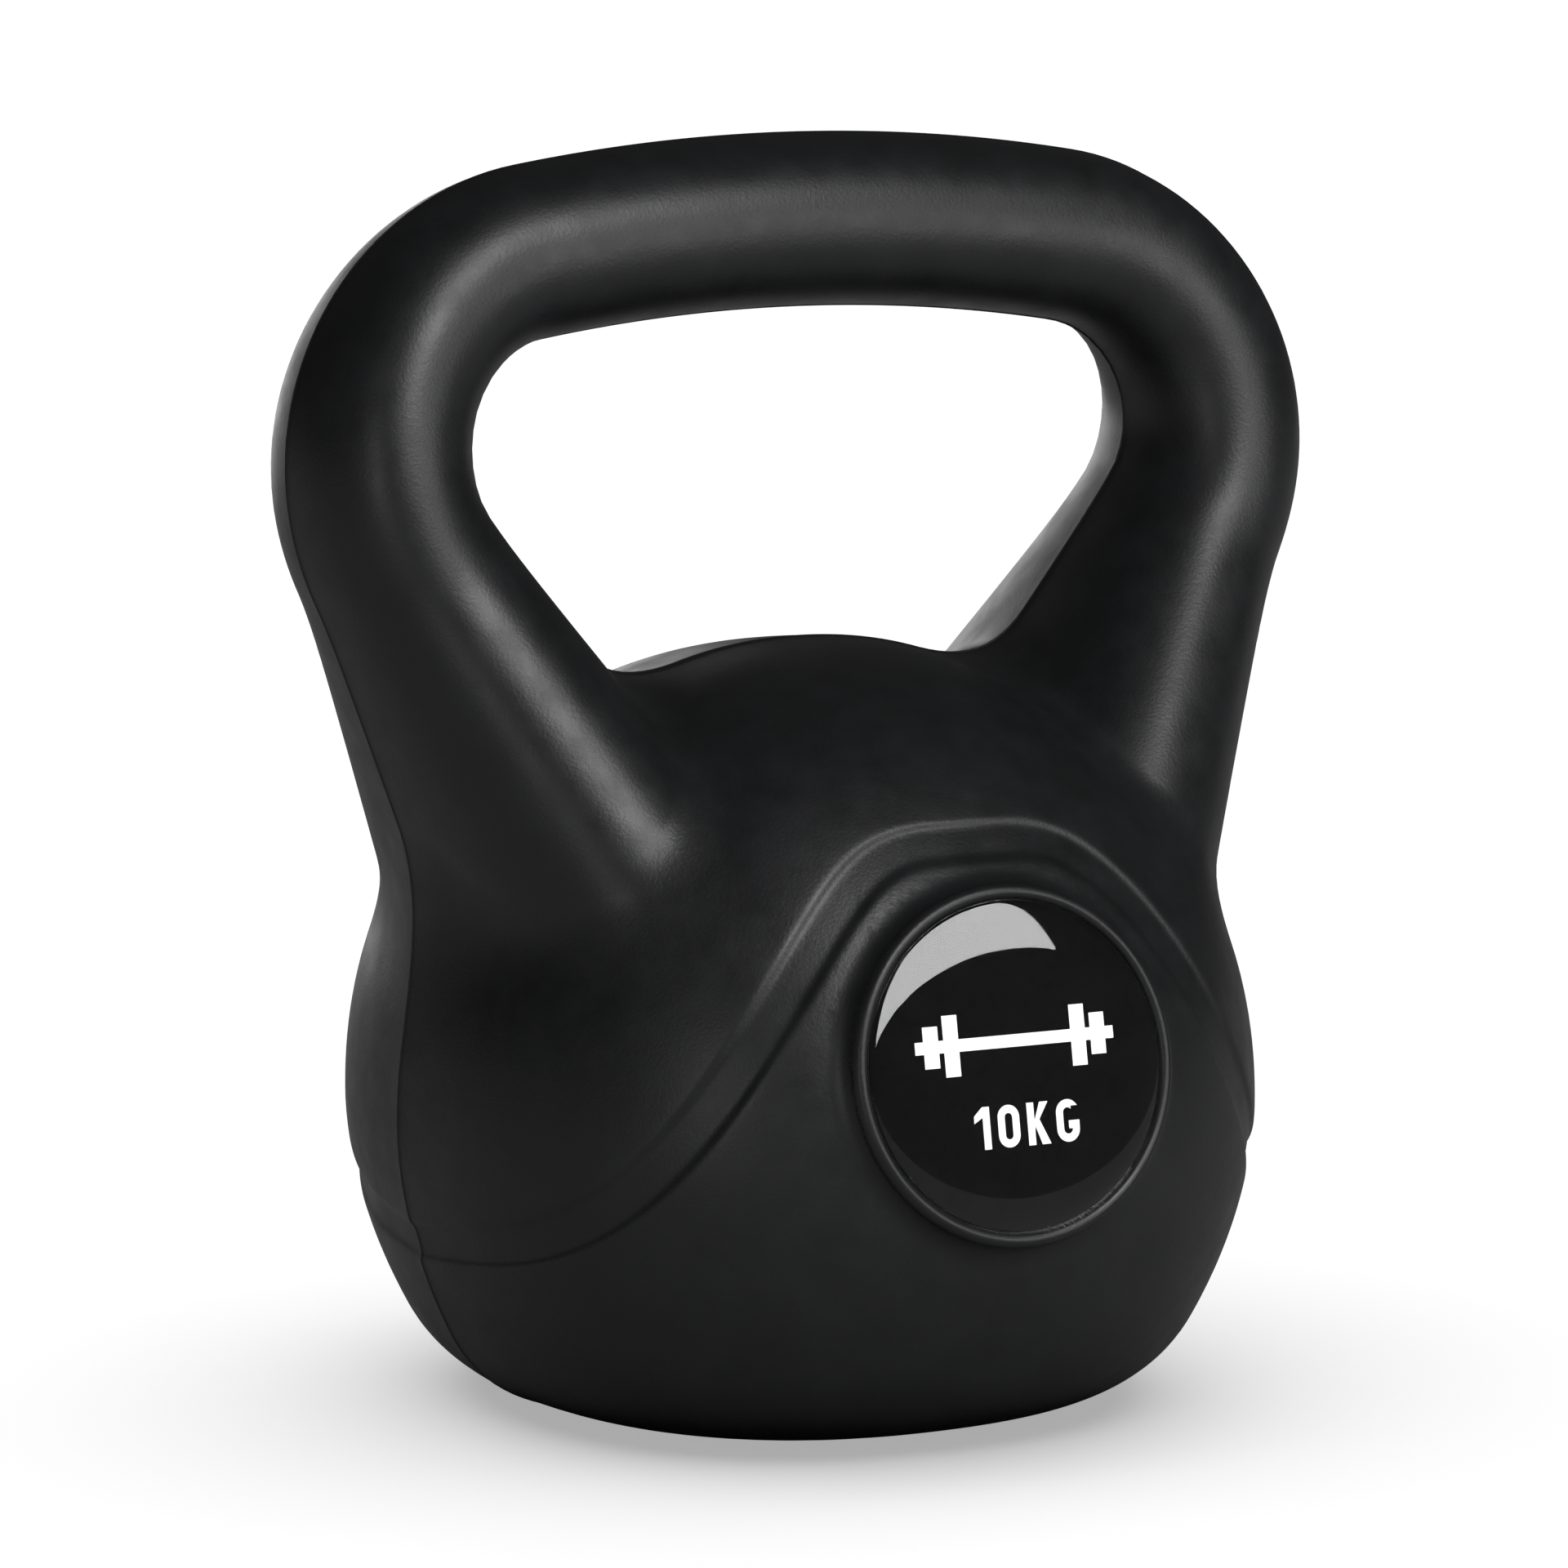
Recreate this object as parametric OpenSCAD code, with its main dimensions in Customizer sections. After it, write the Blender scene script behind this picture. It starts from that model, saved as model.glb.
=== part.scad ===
// Filled kettlebell: a one-piece blow-moulded plastic shell over a cast ballast core, closed from
// below by a push-in filler plug, with a domed resin label in a round seat on the front and the rear.
// Millimetres. +Z is up, the base stands on z = 0, the main label faces -Y, and the handle runs along X.

/* [Overall] */
// Height from the floor to the top of the grip
overall_h = 280; // [240:1:340]
// Width across the shoulders of the handle
handle_w = 248; // [220:1:300]

/* [Bell] */
// Width of the bell, side to side
bell_w = 197; // [165:1:240]
// Depth of the bell, front to rear
bell_d = 205; // [170:1:246]
// Height of the bell's widest level
bell_mid_h = 67; // [55:1:80]
// Height of the bell's crown, under the hand opening
bell_top_h = 169; // [140:1:190]
// Diameter at which the bell's curve runs out at the floor
base_d = 146; // [120:1:160]
// Rounding between the bell and its base
base_r = 20; // [10:1:24]
// Wall of the moulded shell
wall = 2.6; // [2.2:0.1:4]

/* [Handle] */
// Thickness of the grip, top to bottom, at its middle
grip_t = 38.4; // [32:0.2:46]
// Thickness of the grip, front to rear
grip_d = 41.6; // [34:0.2:50]
// Radius of the grip's upward bow, to its centre line
bow_r = 414; // [300:1:900]
// Radius of the shoulders, to their centre line
shoulder_r = 44; // [38:1:52]
// Thickness of the shoulders across their bend
shoulder_t = 40.8; // [34:0.2:48]
// Thickness of the shoulders, front to rear
shoulder_d = 60.2; // [44:0.2:72]
// Lean of the legs from upright, in degrees
leg_lean = 29.3; // [15:0.1:35]
// Width of a leg where it ends inside the bell
root_w = 69.4; // [50:0.2:80]
// Length over which a leg starts to widen softly, below the shoulder
leg_soft = 10; // [4:1:16]
// Depth of a leg where it ends inside the bell
root_d = 139.6; // [100:0.2:150]
// Height at which the legs end inside the bell
root_h = 110; // [95:1:120]
// Blend between leg and bell, on the front and rear faces
crotch_r = 4.9; // [3:0.1:12]
// Extra blend between leg and bell in the hand opening
crotch_extra = 12.7; // [0:0.1:20]

/* [Parting line] */
// How far the mould's draft stands the parting line proud of the faces beside it
ridge_h = 0.9; // [0:0.1:1.5]
// Distance over which the draft fades into the face
ridge_reach = 9; // [6:0.5:14]

/* [Label seats] */
// Height of the seats' centre
seat_h = 88; // [78:1:96]
// How far the seat floor is sunk below the bell's face at its centre
seat_sink = 2.9; // [1:0.1:3.4]
// Radial clearance around the label
seat_gap = 0.3; // [0.1:0.1:1]
// Width of the bead around the seat
bead_w = 3; // [2:0.1:5]
// Height of the bead over the seat floor
bead_h = 1.4; // [0.8:0.1:2.5]

/* [Groove] */
// Width of the decorative groove
groove_w = 8.6; // [5:0.1:11]
// Depth of the groove into the wall
groove_depth = 1; // [0.4:0.1:1.4]
// Clearance between the bead around the label and the groove
groove_gap = 3.5; // [2:0.1:8]
// Height of the groove low on the sides, where it runs level
groove_low_h = 39.4; // [34:0.2:50]
// Azimuth from the label at which the groove has come half way down, in degrees
groove_turn = 36.3; // [34:0.1:42]

/* [Label] */
// Diameter of the label
label_d = 70; // [56:1:84]
// Thickness of the adhesive
adhesive_t = 0.2; // [0.1:0.05:0.3]
// Thickness of the printed film
film_t = 0.3; // [0.2:0.05:0.5]
// Depth of the white ink in the film's face
ink_t = 0.1; // [0.05:0.01:0.15]
// Height of the resin dome at its middle
dome_h = 1.9; // [1.2:0.1:2.6]
// Height of the resin dome at its edge
dome_edge_h = 0.5; // [0.3:0.1:0.9]
// Height of the printed figures
figure_h = 9; // [7:0.5:11]
// Width of the printed barbell sign
sign_w = 48; // [36:1:52]

/* [Filler] */
// Bore of the filler hole in the base
filler_d = 30; // [24:1:36]
// Height of the neck that stands up into the shell
neck_h = 14; // [10:1:20]
// Depth of the round recess in the base that keeps the plug off the floor
recess_depth = 2; // [1.6:0.1:3]
// Diameter of the plug's head
plug_head_d = 44; // [40:1:50]
// Thickness of the plug's head
plug_head_t = 1.5; // [1:0.1:1.5]
// Radial clearance around the plug's head
head_gap = 1; // [0.5:0.1:2]
// Radial clearance between the plug's stem and the bore
plug_fit = 0.15; // [0.05:0.05:0.3]

/* [Ballast] */
// Shrinkage gap between the ballast and the shell
fill_gap = 0.3; // [0.2:0.05:0.6]

/* [Hidden] */
$fn = 96;

shell_colour = "#1c1d1e";
cement_colour = "#8d8a84";
ink_colour = "#f2f2f0";

// Exponents of the rounded outlines: 2 is an ellipse, more is squarer.
plan_n = 2.23;
upper_n = 2.09;
lower_n = 1.81;
handle_n = 2.2;
// Distance from the middle plane over which the extra crotch blend fades.
crotch_reach = 22.6;

bell_up = bell_top_h - bell_mid_h;
bell_down = bell_mid_h / pow(1 - pow(base_d / bell_w, lower_n), 1 / lower_n);

// Centre line of one handle side, in the XZ plane: the bow, then the shoulder, then the straight leg.
bow_z = overall_h - grip_t / 2 - bow_r;
shoulder_x = handle_w / 2 - shoulder_r - shoulder_t / 2;
bow_end = asin(shoulder_x / (bow_r - shoulder_r));
shoulder_c = [shoulder_x, bow_z + (bow_r - shoulder_r) * cos(bow_end)];
leg_start_a = 90 + leg_lean;
leg_start = shoulder_c + shoulder_r * [sin(leg_start_a), cos(leg_start_a)];
leg_dir = [cos(leg_start_a), -sin(leg_start_a)];
leg_len = (leg_start.y - root_h) / -leg_dir.y;

// Point grid of the shell: stations round the hand opening, and points round each section.
stations = 68;
section_n = 40;
// The stations crowd together by this share below, where the sections are large.
crowding = 0.4;
eye_z = bell_top_h + 36;
reach = 190;
march = 6;

function lerp(a, b, t) = a + (b - a) * t;
function ease(t) = t * t * (3 - 2 * t);
function clamp(v, lo, hi) = min(max(v, lo), hi);
// Smallest of two fields, blended over the width k.
function blend_min(a, b, k) = let (h = clamp(0.5 + 0.5 * (b - a) / k, 0, 1))
    b * (1 - h) + a * h - k * h * (1 - h);
function super(a, b, n) = pow(pow(a, n) + pow(b, n), 1 / n);

// Field of the bell above and below the floor: below 0 inside, about the distance in mm outside.
function bell_field(p) =
    let (q = super(abs(p.x) / (bell_w / 2), abs(p.y) / (bell_d / 2), plan_n),
         rise = p.z - bell_mid_h,
         k = rise > 0 ? super(q, rise / bell_up, upper_n) : super(q, -rise / bell_down, lower_n))
    k < 0.001 ? -bell_up : norm([p.x, p.y, rise]) * (1 - 1 / k);

// Field of one handle section: d from the centre line in the plane, y from the plane.
function section_field(d, y, w, e) = (super(d / w, abs(y) / e, handle_n) - 1) * min(w, e);

function bow_field(x, y, z) =
    let (a = clamp(atan2(x, z - bow_z), 0, bow_end),
         d = norm([x, z] - [0, bow_z] - bow_r * [sin(a), cos(a)]))
    section_field(d, y, grip_t / 2, grip_d / 2);

// Share of a leg's widening at s mm past the shoulder: a straight ramp with a soft start.
function widening(s) = (s + norm([s, leg_soft])) / (2 * leg_len);

function shoulder_field(x, y, z) =
    let (v = [x, z] - shoulder_c,
         raw = atan2(v.x, v.y),
         a = clamp(raw < -70 ? raw + 360 : raw, bow_end, leg_start_a),
         t = ease((a - bow_end) / (leg_start_a - bow_end)),
         more = t * widening((a - leg_start_a) * shoulder_r * PI / 180))
    section_field(norm(v - shoulder_r * [sin(a), cos(a)]), y,
                  (lerp(grip_t, shoulder_t, t) + (root_w - shoulder_t) * more) / 2,
                  (lerp(grip_d, shoulder_d, t) + (root_d - shoulder_d) * more) / 2);

function leg_field(x, y, z) =
    let (v = [x, z] - leg_start,
         s = clamp(v * leg_dir, 0, leg_len),
         t = widening(s))
    section_field(norm(v - s * leg_dir), y,
                  lerp(shoulder_t, root_w, t) / 2, lerp(shoulder_d, root_d, t) / 2);

// The leg takes over from the shoulder at the plane across its start, so neither end shows as a step.
function handle_field(p) =
    let (x = abs(p.x), past = ([x, p.z] - leg_start) * leg_dir > 0)
    min(bow_field(x, p.y, p.z), past ? leg_field(x, p.y, p.z) : shoulder_field(x, p.y, p.z));

// Field of the whole outer face, with the draft on both sides of the parting line. The floor cuts it
// last, so the base is flat.
function field(p) =
    let (crotch = crotch_r + crotch_extra * exp(-pow(p.y / crotch_reach, 2)),
         draft = ridge_h * (1 - exp(-abs(p.y) / ridge_reach)),
         body = blend_min(bell_field(p), handle_field(p), crotch) + draft)
    -blend_min(-body, p.z, base_r);

// Distance along a ray at which the field, moved inward by inset, turns positive.
function halve(p, d, inset, lo, hi, n) = n == 0 ? (lo + hi) / 2 :
    let (mid = (lo + hi) / 2)
    field(p + mid * d) + inset > 0 ? halve(p, d, inset, lo, mid, n - 1) : halve(p, d, inset, mid, hi, n - 1);
function step_out(p, d, inset, t) =
    t > reach || field(p + t * d) + inset > 0 ? t : step_out(p, d, inset, t + march);
function cast(p, d, inset) =
    let (t = step_out(p, d, inset, march)) halve(p, d, inset, t - march, t, 14);

// Distance from a point in the open, along a ray, to the first outer face it meets.
function meet(p, d, t = march) =
    field(p + t * d) < 0 ? halve_in(p, d, t - march, t, 14) : meet(p, d, t + march);
function halve_in(p, d, lo, hi, n) = n == 0 ? (lo + hi) / 2 :
    let (mid = (lo + hi) / 2)
    field(p + mid * d) < 0 ? halve_in(p, d, lo, mid, n - 1) : halve_in(p, d, mid, hi, n - 1);

// One section of a skin set in from the outer face: half a ring, from the outside to the opening.
function half_ring(i, inset) =
    let (t = 360 * i / stations,
         a = t + crowding * sin(t) * 180 / PI,
         u = [sin(a), 0, cos(a)],
         eye = [0, 0, eye_z],
         inner = meet(eye, u),
         outer = inner + march + cast(eye + (inner + march) * u, u, 0),
         mid = eye + (inner + outer) / 2 * u,
         depth = cast(mid, [0, 1, 0], 0))
    [for (j = [0 : section_n / 2])
        let (f = 360 * j / section_n,
             v = (outer - inner) / 2 * cos(f) * u + depth * sin(f) * [0, 1, 0],
             d = v / norm(v))
        mid + cast(mid, d, inset) * d];

// All points of a skin: a quarter is worked out and mirrored in both middle planes.
function skin_points(inset) =
    let (quarter = [for (i = [0 : stations / 2]) half_ring(i, inset)])
    [for (i = [0 : stations - 1], j = [0 : section_n - 1])
        let (p = quarter[min(i, stations - i)][min(j, section_n - j)])
        [i <= stations / 2 ? p.x : -p.x, j <= section_n / 2 ? p.y : -p.y, p.z]];

function skin_index(i, j) = ((i + stations) % stations) * section_n + (j + section_n) % section_n;
// The skins meet in a small window at the middle of the base, which the filler neck covers.
function in_window(i, j) =
    abs(i + 0.5 - stations / 2) < 1 && (j < 1 || j >= section_n - 1);
function quad(a, b, c, d) = [[a, c, b], [a, d, c]];
function skin_faces(start, outward, open) =
    [for (i = [0 : stations - 1], j = [0 : section_n - 1])
        if (!(open && in_window(i, j)))
            let (a = start + skin_index(i, j), b = start + skin_index(i + 1, j),
                 c = start + skin_index(i + 1, j + 1), d = start + skin_index(i, j + 1),
                 // The diagonals mirror in both middle planes, as the points do.
                 k = (i < stations / 2) == (j < section_n / 2) ? [a, b, c, d] : [b, c, d, a])
            each (outward ? quad(k[0], k[1], k[2], k[3]) : quad(k[0], k[3], k[2], k[1]))];
// Grid points round the window, in order.
window_rim = [for (k = [[-1, -1], [0, -1], [1, -1], [1, 0], [1, 1], [0, 1], [-1, 1], [-1, 0]])
    skin_index(stations / 2 + k[0], k[1])];

module shell_skin() {
    count = stations * section_n;
    rim = len(window_rim);
    polyhedron(
        points = concat(skin_points(0), skin_points(wall)),
        faces = concat(
            skin_faces(0, true, true),
            skin_faces(count, false, true),
            [for (k = [0 : rim - 1])
                let (a = window_rim[k], b = window_rim[(k + 1) % rim])
                each quad(a, b, count + b, count + a)]));
}

// Seat of a label: it faces squarely out of the bell at its height.
function bell_face_y(z) = cast([0, 0, z], [0, 1, 0], 0);
seat_face_y = bell_face_y(seat_h);
seat_tilt = atan2(bell_face_y(seat_h - 1) - bell_face_y(seat_h + 1), 2);
seat_y = seat_face_y - seat_sink * cos(seat_tilt);
seat_z = seat_h - seat_sink * sin(seat_tilt);
pocket_r = label_d / 2 + seat_gap;
boss_r = pocket_r + bead_w;
seat_out = [0, -cos(seat_tilt), sin(seat_tilt)];
seat_up = [0, sin(seat_tilt), cos(seat_tilt)];
// Depth from the seat floor to the bell's face under the boss rim, at its deepest.
rim_clear = 30;
skirt_reach = max([for (a = [0 : 15 : 180])
    meet([0, -seat_y, seat_z] + boss_r * (sin(a) * [1, 0, 0] + cos(a) * seat_up) + rim_clear * seat_out,
         -seat_out) - rim_clear]);
skirt_depth = skirt_reach + wall / 2;

// Places children on a seat floor, local +Z out of the bell and +Y up.
module at_seat(rear) {
    rotate([0, 0, rear ? 180 : 0])
        translate([0, -seat_y, seat_z])
            rotate([90 - seat_tilt, 0, 0])
                children();
}

module at_both_seats() {
    at_seat(false) children();
    at_seat(true) children();
}

// Shallow cup behind a seat: its floor thickens towards a skirt that ends in the bell's wall all round.
module seat_cup(grow, top) {
    r = boss_r + grow;
    depth = skirt_depth + grow;
    floor_t = wall + grow;
    difference() {
        translate([0, 0, -depth]) cylinder(r = r, h = depth + top);
        translate([0, 0, -depth]) cylinder(r1 = r, r2 = 0, h = depth - floor_t);
    }
}

// Round boss with a half-round bead on its rim.
module seat_boss() {
    bead_r = bead_w / 2;
    seat_cup(0, bead_h - bead_r);
    rotate_extrude()
        translate([boss_r - bead_r, bead_h - bead_r])
            circle(r = bead_r, $fn = 32);
}

// Curve of the groove: its height falls away on both sides of the label and levels out at the sides.
groove_top_h = seat_z + (boss_r + groove_gap + groove_w / 2) * cos(seat_tilt);
groove_n = 96;
function fold(a) = abs(a) > 90 ? 180 - abs(a) : abs(a);
function groove_point(a) =
    let (z = groove_low_h + (groove_top_h - groove_low_h) / (1 + pow(fold(a) / groove_turn, 4)),
         d = [sin(a), -cos(a), 0])
    [0, 0, z] + cast([0, 0, z], d, 0) * d;
function slope(p, d) = field(p + d) - field(p - d);
function face_normal(p) =
    let (n = [slope(p, [0.5, 0, 0]), slope(p, [0, 0.5, 0]), slope(p, [0, 0, 0.5])]) n / norm(n);

// Cutter of the groove: a four-sided section swept once round the bell, wider outside.
module groove_cutter() {
    over = 2;
    section = [[-groove_w / 2 - over / 2, over], [groove_w / 2 + over / 2, over],
               [groove_w / 2 - groove_depth, -groove_depth], [-groove_w / 2 + groove_depth, -groove_depth]];
    angles = [for (i = [0 : groove_n - 1]) (i + 0.5) * 360 / groove_n - 180];
    points = [for (a = angles)
        let (p = groove_point(a),
             n = face_normal(p),
             t = groove_point(a > 179 ? a + 1 - 360 : a + 1) - groove_point(a < -179 ? a - 1 + 360 : a - 1),
             b = cross(n, t) / norm(cross(n, t)))
        each [for (s = section) p + s[0] * b + s[1] * n]];
    faces = [for (i = [0 : groove_n - 1], j = [0 : 3])
        let (k = (i + 1) % groove_n, m = (j + 1) % 4)
        each quad(4 * i + j, 4 * k + j, 4 * k + m, 4 * i + m)];
    polyhedron(points = points, faces = faces);
}

// Filler neck, with the flange that carries the plug's head over the base recess.
neck_r = filler_d / 2 + wall;
recess_r = plug_head_d / 2 + head_gap;
flange_r = recess_r + wall;
flange_top = recess_depth + wall;
// Depth to which the flange and neck start inside the base wall.
root_in = wall / 2;

module filler_neck() {
    translate([0, 0, root_in]) cylinder(r = flange_r, h = flange_top - root_in);
    translate([0, 0, root_in]) cylinder(r = neck_r, h = neck_h - root_in);
}

module filler_hole() {
    translate([0, 0, -1]) cylinder(r = recess_r, h = recess_depth + 1);
    translate([0, 0, -1]) cylinder(d = filler_d, h = neck_h + 2);
}

module shell() {
    color(shell_colour)
        difference() {
            union() {
                shell_skin();
                filler_neck();
                at_both_seats() seat_boss();
            }
            filler_hole();
            at_both_seats() cylinder(r = pocket_r, h = seat_sink + bead_h + 2);
            groove_cutter();
        }
}

// Cast fill: the inside of the shell, less a gap, with room for the neck and the seats' backs.
module ballast_core() {
    color(cement_colour)
        difference() {
            polyhedron(points = skin_points(wall + fill_gap), faces = skin_faces(0, true, false));
            translate([0, 0, -1]) cylinder(r = flange_r + fill_gap, h = flange_top + fill_gap + 1);
            translate([0, 0, -1]) cylinder(r = neck_r + fill_gap, h = neck_h + 1 + 1);
            at_both_seats() seat_cup(fill_gap, seat_sink + 1);
        }
}

// Push-in plug: a thin head in the base recess and a hollow stem with a lead-in and one snap bead.
module filler_plug() {
    stem_r = filler_d / 2 - plug_fit;
    stem_wall = 2;
    head_low = recess_depth - plug_head_t;
    stem_top = neck_h - 2;
    lead = 1.5;
    head_r = plug_head_d / 2;
    edge = 0.4;
    color(shell_colour)
        rotate_extrude()
            polygon([[0, head_low], [head_r - edge, head_low], [head_r, head_low + edge],
                     [head_r, recess_depth], [stem_r, recess_depth], [stem_r, stem_top - lead],
                     [stem_r - lead / 2, stem_top], [stem_r - stem_wall, stem_top],
                     [stem_r - stem_wall, recess_depth], [0, recess_depth]]);
}

// Upright loop of even stroke, rounded at both ends.
module loop(h, w, stroke) {
    difference() {
        stadium(h, w);
        stadium(h - 2 * stroke, w - 2 * stroke);
    }
}

module stadium(h, w) {
    square([w, h - w], center = true);
    translate([0, (h - w) / 2]) circle(d = w);
    translate([0, (w - h) / 2]) circle(d = w);
}

// Figures 1 and 0 and the letters K and G, drawn from strokes, then a plain barbell sign above them.
module figures() {
    h = figure_h;
    w = h * 0.58;
    s = h * 0.19;
    pitch = w * 1.22;
    translate([-pitch * 1.5, 0]) {
        translate([s * 0.6, 0]) square([s, h], center = true);
        translate([s * 0.6, h / 2])
            polygon([[-s / 2, 0], [-s * 1.7, -s * 1.1], [-s * 1.7, -s * 2], [-s / 2, -s * 1.3]]);
    }
    translate([-pitch * 0.5, 0]) loop(h, w, s);
    translate([pitch * 0.62, 0]) {
        translate([(s - w) / 2, 0]) square([s, h], center = true);
        polygon([[-w / 2 + s, -s * 0.9], [-w / 2 + s, s * 0.4], [w / 2 - s * 1.2, h / 2], [w / 2, h / 2],
                 [-w / 2 + s * 1.7, s * 0.5], [w / 2 + s * 0.1, -h / 2], [w / 2 - s * 1.15, -h / 2],
                 [-w / 2 + s * 1.1, -s * 0.35]]);
    }
    translate([pitch * 1.75, 0]) {
        difference() {
            loop(h, w * 1.06, s);
            translate([s * 0.5, -s * 0.1]) square([w, s * 1.9]);
        }
        translate([s * 0.1, -s]) square([w * 0.53 - s * 0.1, s]);
    }
}

module barbell_sign() {
    bar_t = sign_w * 0.055;
    plate_h = sign_w * 0.27;
    plate_t = sign_w * 0.075;
    square([sign_w, bar_t], center = true);
    for (side = [-1, 1]) {
        translate([side * sign_w * 0.32, 0]) square([plate_t, plate_h], center = true);
        translate([side * sign_w * 0.42, 0]) square([plate_t, plate_h * 0.68], center = true);
    }
}

module ink_shapes() {
    translate([0, label_d * 0.075]) barbell_sign();
    translate([0, -label_d * 0.18]) figures();
}

module adhesive(rear) {
    color("#b9b7ae") at_seat(rear) cylinder(d = label_d, h = adhesive_t);
}

module film(rear) {
    color("#0b0b0c") at_seat(rear)
        translate([0, 0, adhesive_t])
            difference() {
                cylinder(d = label_d, h = film_t);
                translate([0, 0, film_t - ink_t]) linear_extrude(ink_t + 1) ink_shapes();
            }
}

module ink(rear) {
    color(ink_colour) at_seat(rear)
        translate([0, 0, adhesive_t + film_t - ink_t]) linear_extrude(ink_t) ink_shapes();
}

// Clear resin: a low upright edge under a shallow spherical crown.
module dome(rear) {
    r = label_d / 2;
    rise = dome_h - dome_edge_h;
    crown_r = (r * r + rise * rise) / (2 * rise);
    half = asin(r / crown_r);
    steps = 24;
    color("#9aa0a6") at_seat(rear)
        translate([0, 0, adhesive_t + film_t])
            rotate_extrude()
                polygon(concat([[0, 0], [r, 0]],
                    [for (k = [0 : steps])
                        let (a = half * (1 - k / steps))
                        [crown_r * sin(a), dome_h - crown_r + crown_r * cos(a)]]));
}

shell();
ballast_core();
filler_plug();
adhesive(false);  // front_label_adhesive
film(false);  // front_label_film
ink(false);  // front_label_ink
dome(false);  // front_label_dome
adhesive(true);  // rear_label_adhesive
film(true);  // rear_label_film
ink(true);  // rear_label_ink
dome(true);  // rear_label_dome
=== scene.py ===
# %% [markdown]
# # A filled kettlebell
#
# The real object is a hollow plastic bottle in the shape of a kettlebell. It is blow-moulded in two
# mould halves, filled with wet cement and iron sand, and closed with a plug. Two round labels with
# clear resin domes sit in shallow seats. The CAD frame already holds every piece in its place, so this
# lesson only gives the seen pieces their fine shape and every piece its material.

# %% Load the frame
import bpy
import math
import numpy as np
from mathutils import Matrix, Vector


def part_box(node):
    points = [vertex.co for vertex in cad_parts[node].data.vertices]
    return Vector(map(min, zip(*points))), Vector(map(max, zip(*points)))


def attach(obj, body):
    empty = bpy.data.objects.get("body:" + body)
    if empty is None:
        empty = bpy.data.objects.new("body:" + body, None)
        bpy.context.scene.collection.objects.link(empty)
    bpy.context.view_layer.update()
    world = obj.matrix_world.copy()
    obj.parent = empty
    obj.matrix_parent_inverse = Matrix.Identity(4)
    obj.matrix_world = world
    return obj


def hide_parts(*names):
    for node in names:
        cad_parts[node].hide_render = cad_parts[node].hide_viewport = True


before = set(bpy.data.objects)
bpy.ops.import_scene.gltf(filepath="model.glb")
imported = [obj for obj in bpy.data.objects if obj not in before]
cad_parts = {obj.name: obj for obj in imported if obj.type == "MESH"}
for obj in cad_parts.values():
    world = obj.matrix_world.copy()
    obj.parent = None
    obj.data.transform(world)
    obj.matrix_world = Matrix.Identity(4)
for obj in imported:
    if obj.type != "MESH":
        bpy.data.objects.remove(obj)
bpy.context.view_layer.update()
shell_low, shell_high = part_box("shell")
MM = 0.001

# %% [markdown]
# ## The driving sizes
#
# All lengths are in millimetres until a mesh is made. The sizes of the moulding repeat the design's own
# values, so the skin follows the CAD surface, only finer. Three differ: the handle and the bead are a
# hair smaller, so that the finer skin stays inside the CAD box, and the groove has softer sides.

# %% Sizes of the moulding
overall_h = (shell_high.z - shell_low.z) / MM
# A faceted box is narrower than the curve it stands for. This much is given back to the handle.
facet_loss = 0.14
handle_w = (shell_high.x - shell_low.x) / MM + facet_loss
bell_w, bell_d = 197.0, 205.0
bell_mid_h, bell_top_h, base_d, base_r = 67.0, 169.0, 146.0, 20.0
grip_t, grip_d, bow_r = 38.4, 41.6, 414.0
shoulder_r, shoulder_t, shoulder_d = 44.0, 40.8, 60.2
leg_lean, root_w, root_d, root_h = math.radians(29.3), 69.4, 139.6, 110.0
leg_soft = 10.0
crotch_r, crotch_extra, crotch_reach = 4.9, 12.7, 22.6
ridge_h, ridge_reach = 0.9, 9.0
plan_n, upper_n, lower_n, handle_n = 2.23, 2.09, 1.81, 2.2
bell_up = bell_top_h - bell_mid_h
bell_down = bell_mid_h / (1 - (base_d / bell_w) ** lower_n) ** (1 / lower_n)
print("handle %.2f mm wide, bell's halves %.1f mm up and %.1f mm down" % (handle_w, bell_up, bell_down))

# %% Sizes of the details
seat_h, seat_sink, label_d, seat_gap, bead_w, bead_h = 88.0, 2.9, 70.0, 0.3, 3.0, 1.39
groove_w, groove_seam_w, groove_depth, groove_gap = 9.0, 7.4, 1.0, 3.5
groove_low_h, groove_turn, groove_soft = 39.4, math.radians(36.3), 1.0
recess_r, recess_depth, edge_soft = 23.0, 2.0, 0.4
# Rounding of the boss, its fillet into the bell, the bead's own, and how deep the boss starts inside.
boss_edge, boss_fillet, bead_fillet, boss_root = 0.6, 4.0, 0.8, 14.0
flash_h, flash_w = 0.28, 0.24
adhesive_t, film_t, dome_h = 0.2, 0.3, 1.9
pocket_r = label_d / 2 + seat_gap
boss_r = pocket_r + bead_w
print("seat radius", pocket_r, "boss radius", boss_r)

# %% [markdown]
# ## The moulding as one smooth field
#
# A blow-moulded body has no hard joints: the handle flows into the bell. One way is to model tubes and
# merge them with a remesh, which loses the crisp groove. The way chosen is a field, a number for every
# point in space that is negative inside the plastic and positive outside. Shapes join by taking the
# smaller number, and a soft minimum gives the fillet between them.

# %% Soft minimum and rounded outlines
def blend_min(a, b, k):
    """The smaller of a and b, with a dip of at most k/4 where they are nearly equal, which is a fillet."""
    h = np.clip(0.5 + 0.5 * (b - a) / k, 0, 1)
    return b * (1 - h) + a * h - k * h * (1 - h)


def blend_max(a, b, k):
    """The larger of a and b, rounded the same way: minus the soft minimum of their negatives."""
    return -blend_min(-a, -b, k)


def rounded(a, b, n):
    """The n-th root of a to the n plus b to the n: 1 on a rounded outline, an ellipse when n is 2."""
    return (np.abs(a) ** n + np.abs(b) ** n) ** (1 / n)


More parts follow.
